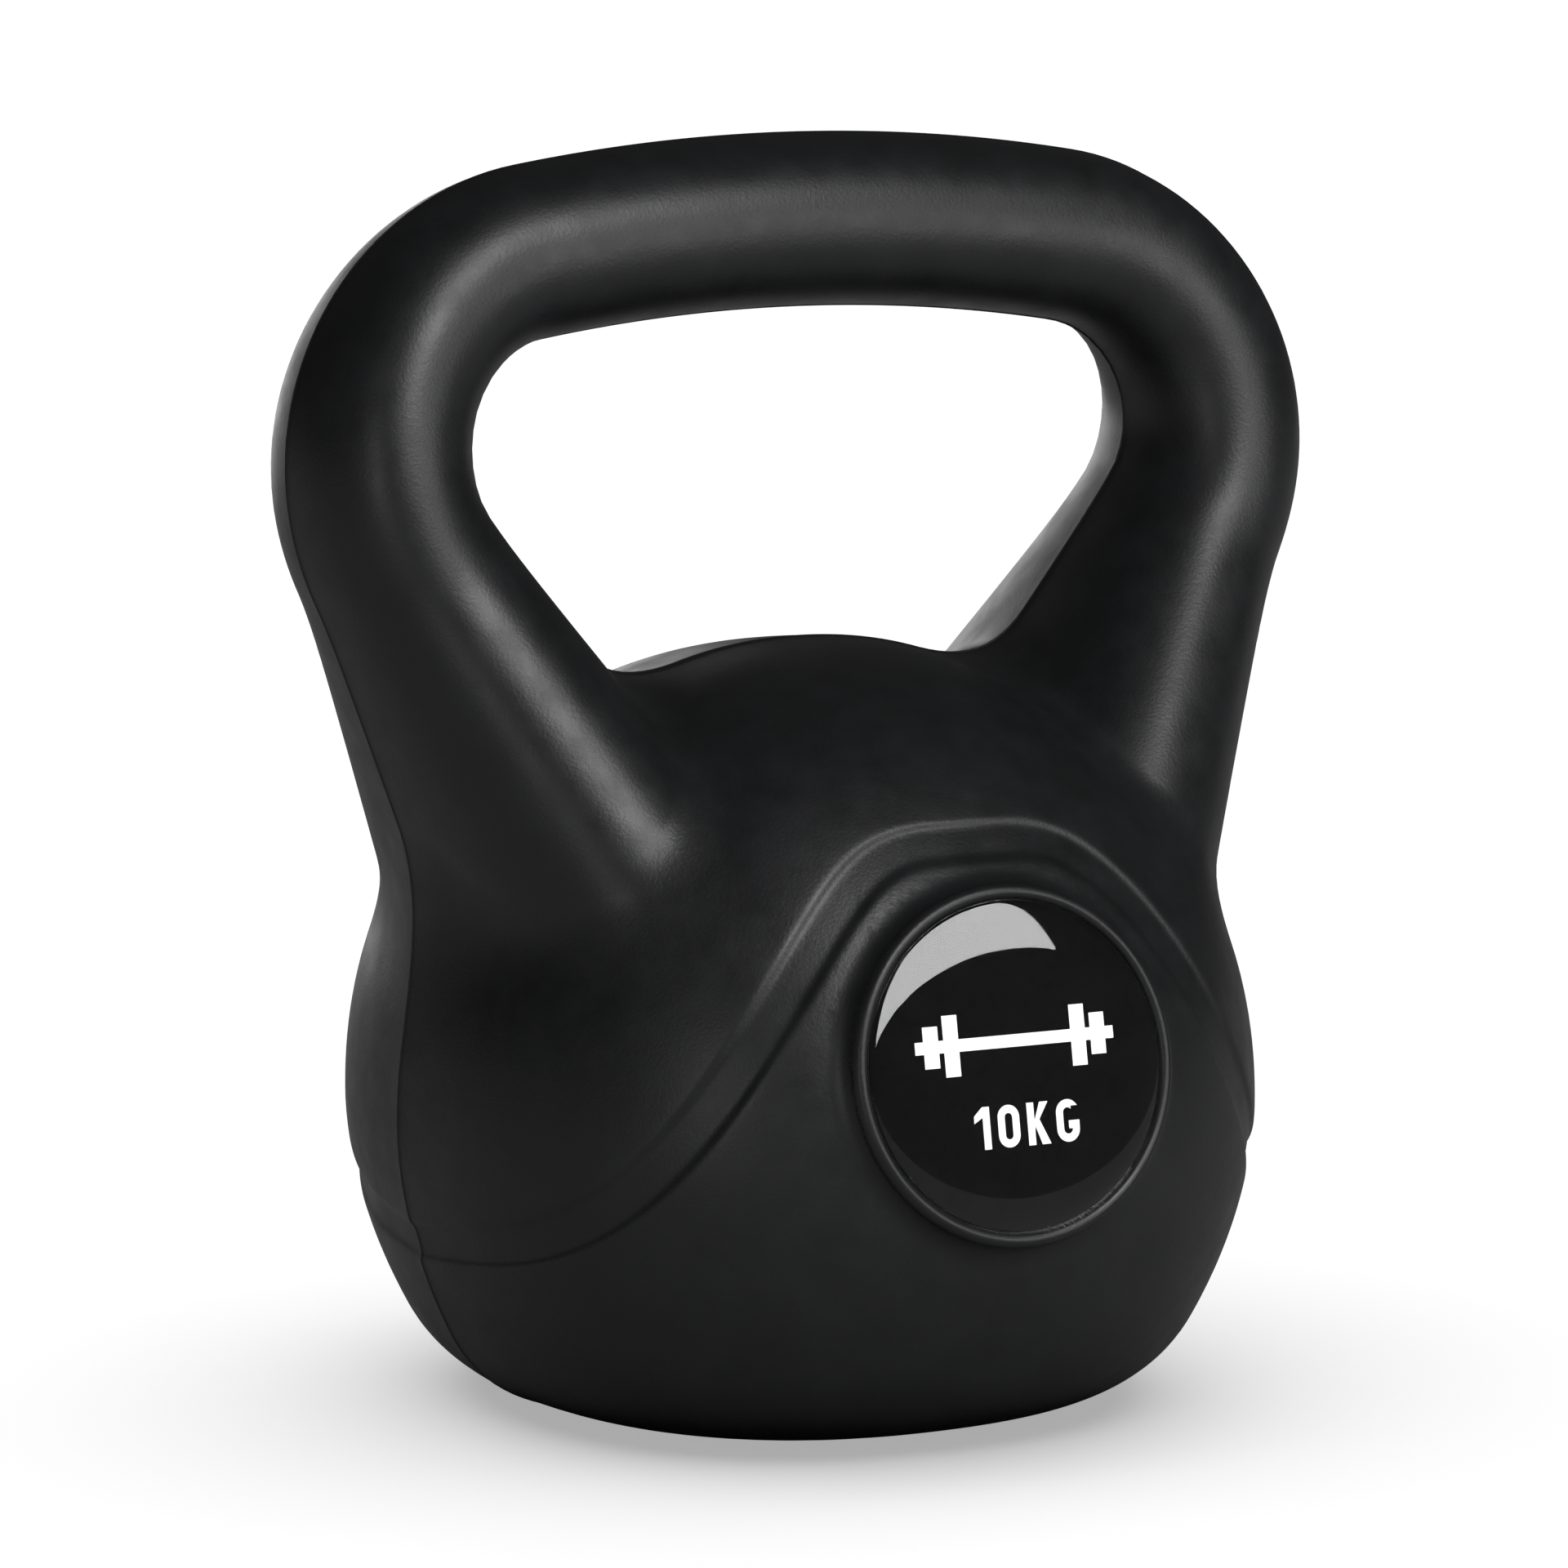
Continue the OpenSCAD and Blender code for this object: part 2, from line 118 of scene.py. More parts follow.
# %% The bell
def bell_parts(x, y, z):
    """Plan radius q, height share w, exponent m and stretch c of the bell at each point."""
    q = rounded(x / (bell_w / 2), y / (bell_d / 2), plan_n)
    rise = z - bell_mid_h
    m = np.where(rise > 0, upper_n, lower_n)
    c = np.where(rise > 0, bell_up, bell_down)
    return q, np.abs(rise) / c, m, c


def bell_field(x, y, z):
    """Distance from the bell's middle, times one minus one over k, where k is 1 on the surface."""
    q, w, m, c = bell_parts(x, y, z)
    k = np.maximum((q ** m + w ** m) ** (1 / m), 1e-3)
    return np.sqrt(x * x + y * y + (z - bell_mid_h) ** 2) * (1 - 1 / k)


# %% The handle
bow_z = overall_h - grip_t / 2 - bow_r
shoulder_x = handle_w / 2 - shoulder_r - shoulder_t / 2
bow_end = math.asin(shoulder_x / (bow_r - shoulder_r))
shoulder_z = bow_z + (bow_r - shoulder_r) * math.cos(bow_end)
leg_turn = math.pi / 2 + leg_lean
leg_x = shoulder_x + shoulder_r * math.sin(leg_turn)
leg_z = shoulder_z + shoulder_r * math.cos(leg_turn)
leg_dx, leg_dz = math.cos(leg_turn), -math.sin(leg_turn)
leg_len = (leg_z - root_h) / -leg_dz
# The turn round the shoulder jumps by a full circle on its far side. Below this angle it is carried on.
carry_on = -1.2
print("handle: leg length %.2f mm, bow to %.2f degrees" % (leg_len, math.degrees(bow_end)))


def section(d, y, thick, deep):
    """Rounded section: its outline value less 1, times the smaller half size, is nearly a distance."""
    return (rounded(d / (thick / 2), y / (deep / 2), handle_n) - 1) * np.minimum(thick, deep) / 2


def widening(s):
    """Share of the leg's widening at s mm past the shoulder: a straight ramp with a soft start."""
    return 0.5 * (s + np.sqrt(s * s + leg_soft ** 2)) / leg_len


def handle_field(x, y, z):
    """The smaller of two swept sections: the bowed grip, and the shoulder arc that turns into the leg.

    The leg takes over at the plane across its start, so neither end shows as a step."""
    x = np.abs(x)
    a = np.clip(np.arctan2(x, z - bow_z), 0, bow_end)
    grip = section(np.hypot(x - bow_r * np.sin(a), z - bow_z - bow_r * np.cos(a)), y, grip_t, grip_d)
    dx, dz = x - shoulder_x, z - shoulder_z
    a = np.arctan2(dx, dz)
    a = np.clip(np.where(a < carry_on, a + 2 * math.pi, a), bow_end, leg_turn)
    t = (a - bow_end) / (leg_turn - bow_end)
    t = t * t * (3 - 2 * t)
    more = widening((a - leg_turn) * shoulder_r) * t
    bend = section(np.hypot(dx - shoulder_r * np.sin(a), dz - shoulder_r * np.cos(a)), y,
                   grip_t + (shoulder_t - grip_t) * t + (root_w - shoulder_t) * more,
                   grip_d + (shoulder_d - grip_d) * t + (root_d - shoulder_d) * more)
    past = (x - leg_x) * leg_dx + (z - leg_z) * leg_dz
    s = np.clip(past, 0, leg_len)
    t = widening(s)
    leg = section(np.hypot(x - leg_x - s * leg_dx, z - leg_z - s * leg_dz), y,
                  shoulder_t + (root_w - shoulder_t) * t, shoulder_d + (root_d - shoulder_d) * t)
    return np.minimum(grip, np.where(past > 0, leg, bend))


# %% The plain body
def plain_body(x, y, z):
    """Bell and handle with the mould's draft, a rise towards the parting plane y = 0, but no details."""
    crotch = crotch_r + crotch_extra * np.exp(-(y / crotch_reach) ** 2)
    draft = ridge_h * (1 - np.exp(-np.sqrt(y * y + 0.02) / ridge_reach))
    return blend_min(bell_field(x, y, z), handle_field(x, y, z), crotch) + draft


def on_floor(body, z):
    """The body cut by the floor, last of all, with the rounding base_r, so the base is flat."""
    return blend_max(body, -z, base_r)


def halving(test, low, high, steps):
    """Halves the interval from low to high, keeping the end where test turns positive."""
    for _ in range(steps):
        mid = (low + high) / 2
        out = test(mid) > 0
        low, high = np.where(out, low, mid), np.where(out, mid, high)
    return (low + high) / 2


def face_y(z):
    """How far the plain bell reaches towards the front at height z: halved down from 60 to 130 mm."""
    zero = np.zeros(1)
    return halving(lambda t: on_floor(plain_body(zero, t, zero + z), z), zero + 60, zero + 130, 30)[0]


seat_tilt = math.atan2(face_y(seat_h - 1) - face_y(seat_h + 1), 2)
seat_y = face_y(seat_h) - seat_sink * math.cos(seat_tilt)
seat_z = seat_h - seat_sink * math.sin(seat_tilt)
print("seat: tilt %.3f degrees, y %.3f, z %.3f" % (math.degrees(seat_tilt), seat_y, seat_z))

# %% [markdown]
# ## Groove, label seats, parting line and base recess
#
# Each detail is one more term of the field. The groove is a curve round the bell: its height is a
# smooth step of the turn angle. The seat is a flat boss with a round bead, and the label's pocket is
# cut into it. The parting line is a hair of flash that the trimming knife leaves.

# %% The details
groove_top_h = seat_z + (boss_r + groove_gap + groove_w / 2) * math.cos(seat_tilt)
print("groove: %.1f mm up at the front, settling towards %.1f mm" % (groove_top_h, groove_low_h))


def groove_sink(x, y, z):
    """Groove depth at each point: full where the surface distance to the curve is under half the width.

    The distance is the height above the curve over the length of its gradient along the surface."""
    turn = np.arctan2(np.abs(x), np.abs(y))
    share = (turn / groove_turn) ** 4
    drop = groove_top_h - groove_low_h
    above = z - groove_low_h - drop / (1 + share)
    climb = 4 * drop * (turn / groove_turn) ** 3 / groove_turn / (1 + share) ** 2
    q, w, m, c = bell_parts(x, y, z)
    # The groove lies far from the axis, and a smaller radius would draw it again on the crown.
    radius = np.maximum(np.hypot(x, y), 60)
    side, cap = (q ** m / radius) ** 2, (w ** (m - 1) / c) ** 2
    off = np.abs(above) / np.sqrt((climb / radius) ** 2 + side / (side + cap + 1e-12) + 1e-6)
    ease = np.clip((turn - 1.0) / 0.5, 0, 1)
    width = groove_w + (groove_seam_w - groove_w) * ease * ease * (3 - 2 * ease)
    return groove_depth * 0.5 * (1 - np.tanh((off - width / 2) / groove_soft)), off - width / 2


def seat_place(x, y, z):
    """Radius from the seat's axis, and height over its floor. Both seats at once, by the size of y."""
    y = np.abs(y)
    up = (seat_y - y) * math.sin(seat_tilt) + (z - seat_z) * math.cos(seat_tilt)
    out = (y - seat_y) * math.cos(seat_tilt) + (z - seat_z) * math.sin(seat_tilt)
    return np.hypot(x, up), out


def shell_field(x, y, z):
    """The whole outer skin, inset by the flash so that its crest lies on the CAD surface."""
    body = plain_body(x, y, z) + flash_h * (1 - np.exp(-(y / flash_w) ** 2)) + groove_sink(x, y, z)[0]
    r, out = seat_place(x, y, z)
    bead_r = bead_w / 2
    boss = blend_max(blend_max(r - boss_r, out - bead_h + bead_r, boss_edge), -out - boss_root, boss_edge)
    bead = np.hypot(r - boss_r + bead_r, out - bead_h + bead_r) - bead_r
    body = blend_min(blend_min(body, boss, boss_fillet), bead, bead_fillet)
    pocket = blend_max(r - pocket_r, -out, edge_soft)
    body = blend_max(body, -pocket, edge_soft)
    recess = blend_max(np.hypot(x, y) - recess_r, z - recess_depth, edge_soft)
    return blend_max(on_floor(body, z), -recess, edge_soft)


# %% [markdown]
# ## From field to surface
#
# The body is a ring round the hand opening, so two angles reach every point of it: theta goes round
# the opening, and alpha round each section. A ray leaves the section's middle at alpha and stops at the
# skin. A plain grid would need millions of points for the groove, so the grid starts coarse and each
# long edge is halved, most where the details are. A quarter is worked out and mirrored, as the mould is.

# %% The surface as a function of two angles
# The eye is the middle of the hand opening, in the parting plane.
eye_z = bell_top_h + 36


def seam_field(theta, t):
    """The plain body in the parting plane, t mm out from the eye at the angle theta."""
    z = eye_z + t * np.cos(theta)
    return on_floor(plain_body(t * np.sin(theta), 0 * t, z), z)


table_theta = np.linspace(0, math.pi, 1200)
ladder = np.linspace(0, 260, 521)[:, None] + 0 * table_theta
inside = seam_field(table_theta, ladder) < 0
near_t = ladder[np.argmax(inside, 0), 0]
far_t = ladder[len(ladder) - 1 - np.argmax(inside[::-1], 0), 0]
rung = 0.5
inner = halving(lambda t: -seam_field(table_theta, t), near_t - rung, near_t, 16)
outer = halving(lambda t: seam_field(table_theta, t), far_t, far_t + rung, 16)
print("eye %.1f mm up, skin %.1f to %.1f mm away from it" % (eye_z, inner.min(), outer.max()))


class Rings:
    """Middle, half width and plane of the section at each theta, read off the table."""

    def __init__(self, theta):
        self.ux, self.uz = np.sin(theta), np.cos(theta)
        self.mid = np.interp(theta, table_theta, (inner + outer) / 2)
        self.half = np.interp(theta, table_theta, (outer - inner) / 2)


def place(rings, alpha, t):
    """Point at distance t from a section's middle, turned by alpha from the outside to the rear."""
    s = rings.mid + t * np.cos(alpha)
    return s * rings.ux, t * np.sin(alpha), eye_z + s * rings.uz


def surface(theta, alpha, low=None, high=None):
    """Shell point for each pair of angles: the ray's length where the field turns positive.

    With no limits given, each ray walks out in strides until the next one would leave the plastic."""
    rings = Rings(theta)
    test = lambda t: shell_field(*place(rings, alpha, t))
    if low is None:
        stride = 3.0
        low = np.full_like(theta, stride)
        walking = np.ones(len(theta), bool)
        for _ in range(70):
            walking &= test(low + stride) < 0
            low = np.where(walking, low + stride, low)
        high = low + stride
    t = halving(test, low, high, 18)
    return np.stack(place(rings, alpha, t), 1), t


# %% First grid, with lines that hug the parting line
theta_n, alpha_n = 84, 30
# The base is farthest from the eye, so the sections lie closer together there.
turn = np.linspace(0, math.pi, theta_n)
turn = turn + 0.4 * np.sin(turn)
rings = Rings(turn)
free = np.linspace(0, math.pi, alpha_n)
# Distances in mm from the parting line, and the angle that each is seen under from a section's middle.
hug = np.array([0.14, 0.3, 0.52, 1.0, 2.2])
near = hug[None, :] / rings.half[:, None]
# Half depth of each section, front to rear, so that the columns spread evenly round a flat oval too.
side_y = np.linspace(3, 120, 400)
mid_x, mid_z = rings.mid * rings.ux, eye_z + rings.mid * rings.uz
side_field = on_floor(plain_body(mid_x, side_y[:, None], mid_z), mid_z)
deep = side_y[np.argmax(side_field > 0, 0)]
body_alpha = np.arctan2(deep[:, None] * np.sin(free), rings.half[:, None] * np.cos(free))
alpha = np.concatenate([body_alpha[:, :1], near, body_alpha[:, 1:-1], math.pi - near[:, ::-1],
                        body_alpha[:, -1:]], 1)
alpha = np.sort(alpha, 1)
columns = alpha.shape[1]
theta = np.repeat(turn, columns)
alpha = alpha.ravel()
points, length = surface(theta, alpha)
a = np.arange(theta_n * columns).reshape(theta_n, columns)
corner = [a[:-1, :-1].ravel(), a[1:, :-1].ravel(), a[1:, 1:].ravel(), a[:-1, 1:].ravel()]
faces = np.concatenate([np.stack([corner[0], corner[1], corner[2]], 1),
                        np.stack([corner[0], corner[2], corner[3]], 1)])
print("first grid:", len(points), "points,", len(faces), "faces in a quarter")


# %% Halving the long edges
# Longest edges in mm: on plain skin, at the groove's walls, at the bead, in the pocket, at the recess.
plain_edge, groove_edge, seat_edge, pocket_edge, recess_edge = 4.3, 1.15, 0.9, 5.0, 1.3
# Across the rays no edge gets shorter than this: a steep wall needs height, not more columns.
least_across = 0.4


def wanted_edge(p):
    """Longest edge allowed at a point, in mm: short at groove walls, beads and the recess's rim.

    Away from each detail the allowed edge grows in step with the distance from it."""
    x, y, z = p.T
    edge = np.full(len(p), plain_edge)
    wall = np.maximum(np.abs(groove_sink(x, y, z)[1]) - 1.5, 0)
    edge = np.where((z > 30) & (z < 150), np.minimum(edge, groove_edge + wall), edge)
    r, out = seat_place(x, y, z)
    ring = np.maximum(np.abs(r - boss_r + bead_w / 2) - 2.4, 0)
    edge = np.where(np.abs(out) < 12, np.minimum(edge, seat_edge + 0.9 * ring), edge)
    edge = np.where((r < pocket_r - 2) & (np.abs(out) < 1), pocket_edge, edge)
    rim = np.maximum(np.abs(np.hypot(x, y) - recess_r) - 0.8, 0)
    edge = np.where(z < 4, np.minimum(edge, recess_edge + 0.8 * rim), edge)
    return edge


for round_ in range(9):
    pairs = np.sort(np.concatenate([faces[:, [0, 1]], faces[:, [1, 2]], faces[:, [2, 0]]]), 1)
    edges, owner = np.unique(pairs, axis=0, return_inverse=True)
    owner = owner.ravel()
    ends = points[edges[:, 0]], points[edges[:, 1]]
    span = np.linalg.norm(ends[0] - ends[1], axis=1)
    across = np.sqrt(np.maximum(span ** 2 - (length[edges[:, 0]] - length[edges[:, 1]]) ** 2, 0))
    long_ = (span > wanted_edge((ends[0] + ends[1]) / 2)) & (across > least_across)
    if not long_.any():
        break
    fresh = np.full(len(edges), -1)
    fresh[long_] = len(points) + np.arange(long_.sum())
    e0, e1 = edges[long_].T
    new_theta, new_alpha = (theta[e0] + theta[e1]) / 2, (alpha[e0] + alpha[e1]) / 2
    # The new ray's length is looked for a little beyond those of the edge's two ends.
    reach = 4 + 0.2 * np.abs(length[e0] - length[e1])
    new_points, new_length = surface(new_theta, new_alpha, np.minimum(length[e0], length[e1]) - reach,
                                     np.maximum(length[e0], length[e1]) + reach)
    theta, alpha = np.concatenate([theta, new_theta]), np.concatenate([alpha, new_alpha])
    points, length = np.concatenate([points, new_points]), np.concatenate([length, new_length])
    cut = fresh[owner].reshape(3, -1).T
    count = (cut >= 0).sum(1)
    # Turn each face so that its cut edges come first: one cut is edge 0, and of two the free edge is 2.
    after_free = (np.argmin(cut, 1) + 1) % 3
    lead = np.where(count == 1, np.argmax(cut >= 0, 1), np.where(count == 2, after_free, 0))
    order = (lead[:, None] + np.arange(3)) % 3
    f, m = np.take_along_axis(faces, order, 1), np.take_along_axis(cut, order, 1)
    one, two, three = f[count == 1], f[count == 2], f[count == 3]
    m1, m2, m3 = m[count == 1], m[count == 2], m[count == 3]
    faces = np.concatenate([
        faces[count == 0],
        np.stack([one[:, 0], m1[:, 0], one[:, 2]], 1), np.stack([m1[:, 0], one[:, 1], one[:, 2]], 1),
        np.stack([m2[:, 0], two[:, 1], m2[:, 1]], 1), np.stack([two[:, 0], m2[:, 0], m2[:, 1]], 1),
        np.stack([two[:, 0], m2[:, 1], two[:, 2]], 1),
        np.stack([three[:, 0], m3[:, 0], m3[:, 2]], 1), np.stack([m3[:, 0], three[:, 1], m3[:, 1]], 1),
        np.stack([m3[:, 2], m3[:, 1], three[:, 2]], 1), m3])
    print("round", round_, "points", len(points), "faces", len(faces))

# %% Mirror the quarter in both middle planes
points[np.isclose(theta, 0) | np.isclose(theta, math.pi), 0] = 0
points[np.isclose(alpha, 0) | np.isclose(alpha, math.pi), 1] = 0


def mirrored(points, faces, axis):
    """The mesh and its mirror image, sharing the points that lie in the mirror plane."""
    apart = points[:, axis] != 0
    index = np.arange(len(points))
    index[apart] = len(points) + np.arange(apart.sum())
    image = points[apart].copy()
    image[:, axis] *= -1
    return np.concatenate([points, image]), np.concatenate([faces, index[faces][:, ::-1]])


points, faces = mirrored(points, faces, 0)
points, faces = mirrored(points, faces, 1)


def outward(field, p):
    """Unit normals of a field: central differences over 0.05 mm in each direction."""
    step = 0.05 * np.eye(3)
    slope = np.stack([field(*(p + s).T) - field(*(p - s).T) for s in step], 1)
    return slope / np.linalg.norm(slope, axis=1)[:, None]


normals = outward(shell_field, points)
corners = points[faces]
turned = np.cross(corners[:, 1] - corners[:, 0], corners[:, 2] - corners[:, 0])
if (turned * normals[faces].mean(1)).sum() < 0:
    faces = faces[:, ::-1]
print("shell:", len(points), "points,", len(faces), "triangles")


# %% Meshes from arrays
def make_piece(name, points, faces, node, normals=None):
    """A smooth piece from points in mm and a list of faces, on the one body, in place of its CAD node."""
    mesh = bpy.data.meshes.new(name)
    mesh.from_pydata((points * MM).tolist(), [], faces)
    mesh.shade_smooth()
    if normals is not None:
        mesh.normals_split_custom_set_from_vertices(normals.tolist())
    piece = bpy.data.objects.new(name, mesh)
    bpy.context.scene.collection.objects.link(piece)
    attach(piece, "root")
    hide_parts(node)
    return piece


shell = make_piece("moulded_shell", points, faces.tolist(), "shell", normals)


# %% [markdown]
# ## Turned pieces: the resin domes and the plug
#
# A resin dome is poured onto the printed film and stops at its edge by surface tension, so its edge is
# steep and its middle nearly flat. The plug is a moulded lid. Both are profiles turned round an axis.

# %% A profile turned round the axis
def turned_profile(r, h, around=128):
    """Profile of radius r at height h carried round the axis. Its first and last points lie on the axis."""
    a = np.arange(around) * 2 * math.pi / around
    ring = np.stack([r[1:-1, None] * np.cos(a), r[1:-1, None] * np.sin(a), h[1:-1, None] + 0 * a], 2)
    points = np.concatenate([[[0, 0, h[0]]], ring.reshape(-1, 3), [[0, 0, h[-1]]]])
    rows = len(r) - 2
    grid = 1 + np.arange(rows * around).reshape(rows, around)
    after = np.roll(grid, -1, 1)
    start = np.stack([0 * grid[0], after[0], grid[0]], 1)
    quads = np.stack([grid[:-1], after[:-1], after[1:], grid[1:]], 2).reshape(-1, 4)
    end = np.stack([0 * grid[-1] + len(points) - 1, grid[-1], after[-1]], 1)
    return points, start.tolist() + quads.tolist() + end.tolist()


def seat_points(points, rear):
    """Points from a seat's own axes, +Z out of the bell and +Y up, into the shared frame."""
    x, v, w = points.T
    y = seat_y + w * math.cos(seat_tilt) - v * math.sin(seat_tilt)
    z = seat_z + v * math.cos(seat_tilt) + w * math.sin(seat_tilt)
    return np.stack([-x, y, z], 1) if rear else np.stack([x, -y, z], 1)


# %% The domes
label_r = label_d / 2
share = 1 - np.linspace(1, 0, 40) ** 2.2
r = label_r * np.concatenate([[0, 0.5, 1 - 0.15 / label_r, 0.9992], share[-2:0:-1], [0]])
h = dome_h * (1 - (r / label_r) ** 2.6) ** 0.5
# The resin wets the film: its underside lies a little under the film's face, so no air layer reflects.
wetting, lip_h = 0.04, 0.12
h[:4] = -wetting, -wetting, -wetting, lip_h
h += adhesive_t + film_t
domes = []
for side in ("front", "rear"):
    p, f = turned_profile(r, h)
    domes.append(make_piece(side + "_resin_dome", seat_points(p, side == "rear"), f,
                            side + "_label_dome"))
print("domes:", len(p), "points each")

# %% The plug
head_r, head_low, stem_r, stem_top = 22.0, 0.5, 14.85, 12.0
bend = np.linspace(0, math.pi / 2, 9)
head_edge = 0.6
r = np.concatenate([[0, 6, 15.2, 16.4, 17.6], head_r - head_edge + head_edge * np.sin(bend),
                    [head_r, stem_r, stem_r, stem_r - 0.8, stem_r - 2, stem_r - 2, 0]])
h = np.concatenate([[0.95, 0.95, 0.95, 0.6, head_low], head_low + head_edge - head_edge * np.cos(bend),
                    [recess_depth, recess_depth, stem_top - 1.5, stem_top, stem_top, recess_depth + 0.2,
                     recess_depth + 0.2]])
p, f = turned_profile(r, h)
plug = make_piece("base_plug", p, f, "filler_plug")
print("plug:", len(p), "points")

# %% [markdown]
# ## Materials
#
# Every pattern is worked out from a real size in millimetres and reads Object coordinates, so it stays
# on the piece. Colours are written as sRGB hex values and turned to linear by one function.


# %% Colour and node helpers
def linear(code):
    """sRGB hex to linear: a channel over 12.92 near black, else ((c + 0.055) / 1.055) to the 2.4."""
    c = np.array([int(code[i:i + 2], 16) / 255 for i in (1, 3, 5)])
    return (*np.where(c <= 0.04045, c / 12.92, ((c + 0.055) / 1.055) ** 2.4), 1.0)


def add_node(tree, kind, settings=None, **sockets):
    """Adds a node, sets its options, then fills or links each named socket (spaces written as _)."""
    node = tree.nodes.new("ShaderNode" + kind)
    for name, value in (settings or {}).items():
        setattr(node, name, value)
    for name, value in sockets.items():
        socket = node.inputs[name.replace("_", " ")]
        if isinstance(value, bpy.types.NodeSocket):
            tree.links.new(value, socket)
        else:
            socket.default_value = value
    return node


def start_material(name):
    """An empty material tree, with its Principled shader and its Object coordinates."""
    material = bpy.data.materials.new(name)
    material.use_nodes = True
    tree = material.node_tree
    tree.nodes.clear()
    shader = add_node(tree, "BsdfPrincipled")
    add_node(tree, "OutputMaterial", Surface=shader.outputs[0])
    return material, tree, shader, add_node(tree, "TexCoord").outputs["Object"]


# %% Finishes
# Real surfaces drift a little in colour, gloss and height. In all three the noise scale is one over the
# size in metres, so its features are about size_mm across.
def mottled(tree, coords, size_mm, low, high, detail, rough=0.5):
    """Colour that drifts between two hex colours, as noise goes from 0.3 to 0.7."""
    noise = add_node(tree, "TexNoise", Vector=coords, Scale=1 / (size_mm * MM), Detail=detail,
                     Roughness=rough)
    ramp = add_node(tree, "ValToRGB", Fac=noise.outputs["Fac"])
    first, second = ramp.color_ramp.elements
    first.position, second.position = 0.3, 0.7
    first.color, second.color = linear(low), linear(high)
    return ramp.outputs["Color"]


def uneven(tree, coords, size_mm, low, high, detail, rough=0.5):
    """Number that drifts from low to high, in proportion, as noise goes from 0.3 to 0.7."""
    noise = add_node(tree, "TexNoise", Vector=coords, Scale=1 / (size_mm * MM), Detail=detail,
                     Roughness=rough)
    return add_node(tree, "MapRange", Value=noise.outputs["Fac"], From_Min=0.3, From_Max=0.7,
                    To_Min=low, To_Max=high).outputs["Result"]


def grained(tree, coords, size_mm, deep_mm, detail, rough=0.5, **under):
    """Normal tilted by noise deep_mm deep, over another normal if one is given."""
    noise = add_node(tree, "TexNoise", Vector=coords, Scale=1 / (size_mm * MM), Detail=detail,
                     Roughness=rough)
    return add_node(tree, "Bump", Height=noise.outputs["Fac"], Distance=deep_mm * MM, Strength=1.0,
                    **under).outputs["Normal"]


# %% High-density polyethylene, blow-moulded against a sand-blasted mould
# Carbon black makes it nearly black. The blasted mould leaves a fine grain, and the wall's uneven
# cooling leaves a slow waviness, so highlights are soft and slightly broken.
hdpe, tree, shader, coords = start_material("blow_moulded_hdpe")
tree.links.new(mottled(tree, coords, 18, "#151617", "#1c1d1f", 4), shader.inputs["Base Color"])
# Handling polishes it in patches.
tree.links.new(uneven(tree, coords, 9, 0.37, 0.47, 5, 0.6), shader.inputs["Roughness"])
shader.inputs["IOR"].default_value = 1.54
wave = grained(tree, coords, 12, 0.035, 1)
# Real blasting is about 0.3 mm across; it is drawn at 0.8 mm to show.
tree.links.new(grained(tree, coords, 0.8, 0.05, 2, 0.6, Normal=wave), shader.inputs["Normal"])
shell.data.materials.append(hdpe)
print(hdpe.name, len(tree.nodes), "nodes")

# %% Low-density polyethylene, injection-moulded plug
ldpe, tree, shader, coords = start_material("injection_moulded_ldpe")
tree.links.new(mottled(tree, coords, 6, "#191a1b", "#202123", 3), shader.inputs["Base Color"])
tree.links.new(uneven(tree, coords, 3, 0.3, 0.42, 4), shader.inputs["Roughness"])
tree.links.new(grained(tree, coords, 0.6, 0.012, 2), shader.inputs["Normal"])
shader.inputs["IOR"].default_value = 1.51
plug.data.materials.append(ldpe)
print(ldpe.name, len(tree.nodes), "nodes")

# %% Cast cement with iron sand, cured in the shell
cement, tree, shader, coords = start_material("cast_cement_iron_sand")
tree.links.new(mottled(tree, coords, 7, "#7c7872", "#a19c94", 6, 0.65), shader.inputs["Base Color"])
# Pits about 1.6 mm apart and 0.25 mm deep, as the cast skin has between its sand grains.
grit = add_node(tree, "TexVoronoi", Vector=coords, Scale=1 / (1.6 * MM)).outputs["Distance"]
rough_cast = add_node(tree, "Bump", Height=grit, Distance=0.25 * MM, Strength=1.0)
tree.links.new(rough_cast.outputs["Normal"], shader.inputs["Normal"])
tree.links.new(uneven(tree, coords, 4, 0.82, 0.95, 3), shader.inputs["Roughness"])
print(cement.name, len(tree.nodes), "nodes")

# %% Acrylic adhesive, coated in a thin even film
adhesive, tree, shader, coords = start_material("acrylic_adhesive")
tree.links.new(mottled(tree, coords, 5, "#aeaca2", "#c2c0b6", 3), shader.inputs["Base Color"])
tree.links.new(grained(tree, coords, 1.2, 0.02, 2), shader.inputs["Normal"])
shader.inputs["Roughness"].default_value = 0.5
shader.inputs["IOR"].default_value = 1.47
print(adhesive.name, len(tree.nodes), "nodes")

# %% Black vinyl film, calendered and gloss
vinyl, tree, shader, coords = start_material("calendered_vinyl_film")
tree.links.new(mottled(tree, coords, 10, "#050506", "#080809", 2), shader.inputs["Base Color"])
tree.links.new(uneven(tree, coords, 2, 0.25, 0.35, 3), shader.inputs["Roughness"])
# The resin wets the film, so almost no light is thrown back where they meet: IOR 1.53 against 1.49.
shader.inputs["Specular IOR Level"].default_value = 0.02
print(vinyl.name, len(tree.nodes), "nodes")

# %% White screen-printing ink
ink, tree, shader, coords = start_material("screen_printed_ink")
tree.links.new(mottled(tree, coords, 1.0, "#ececea", "#f6f6f4", 3), shader.inputs["Base Color"])
tree.links.new(grained(tree, coords, 0.4, 0.004, 2), shader.inputs["Normal"])
shader.inputs["Roughness"].default_value = 0.45
print(ink.name, len(tree.nodes), "nodes")

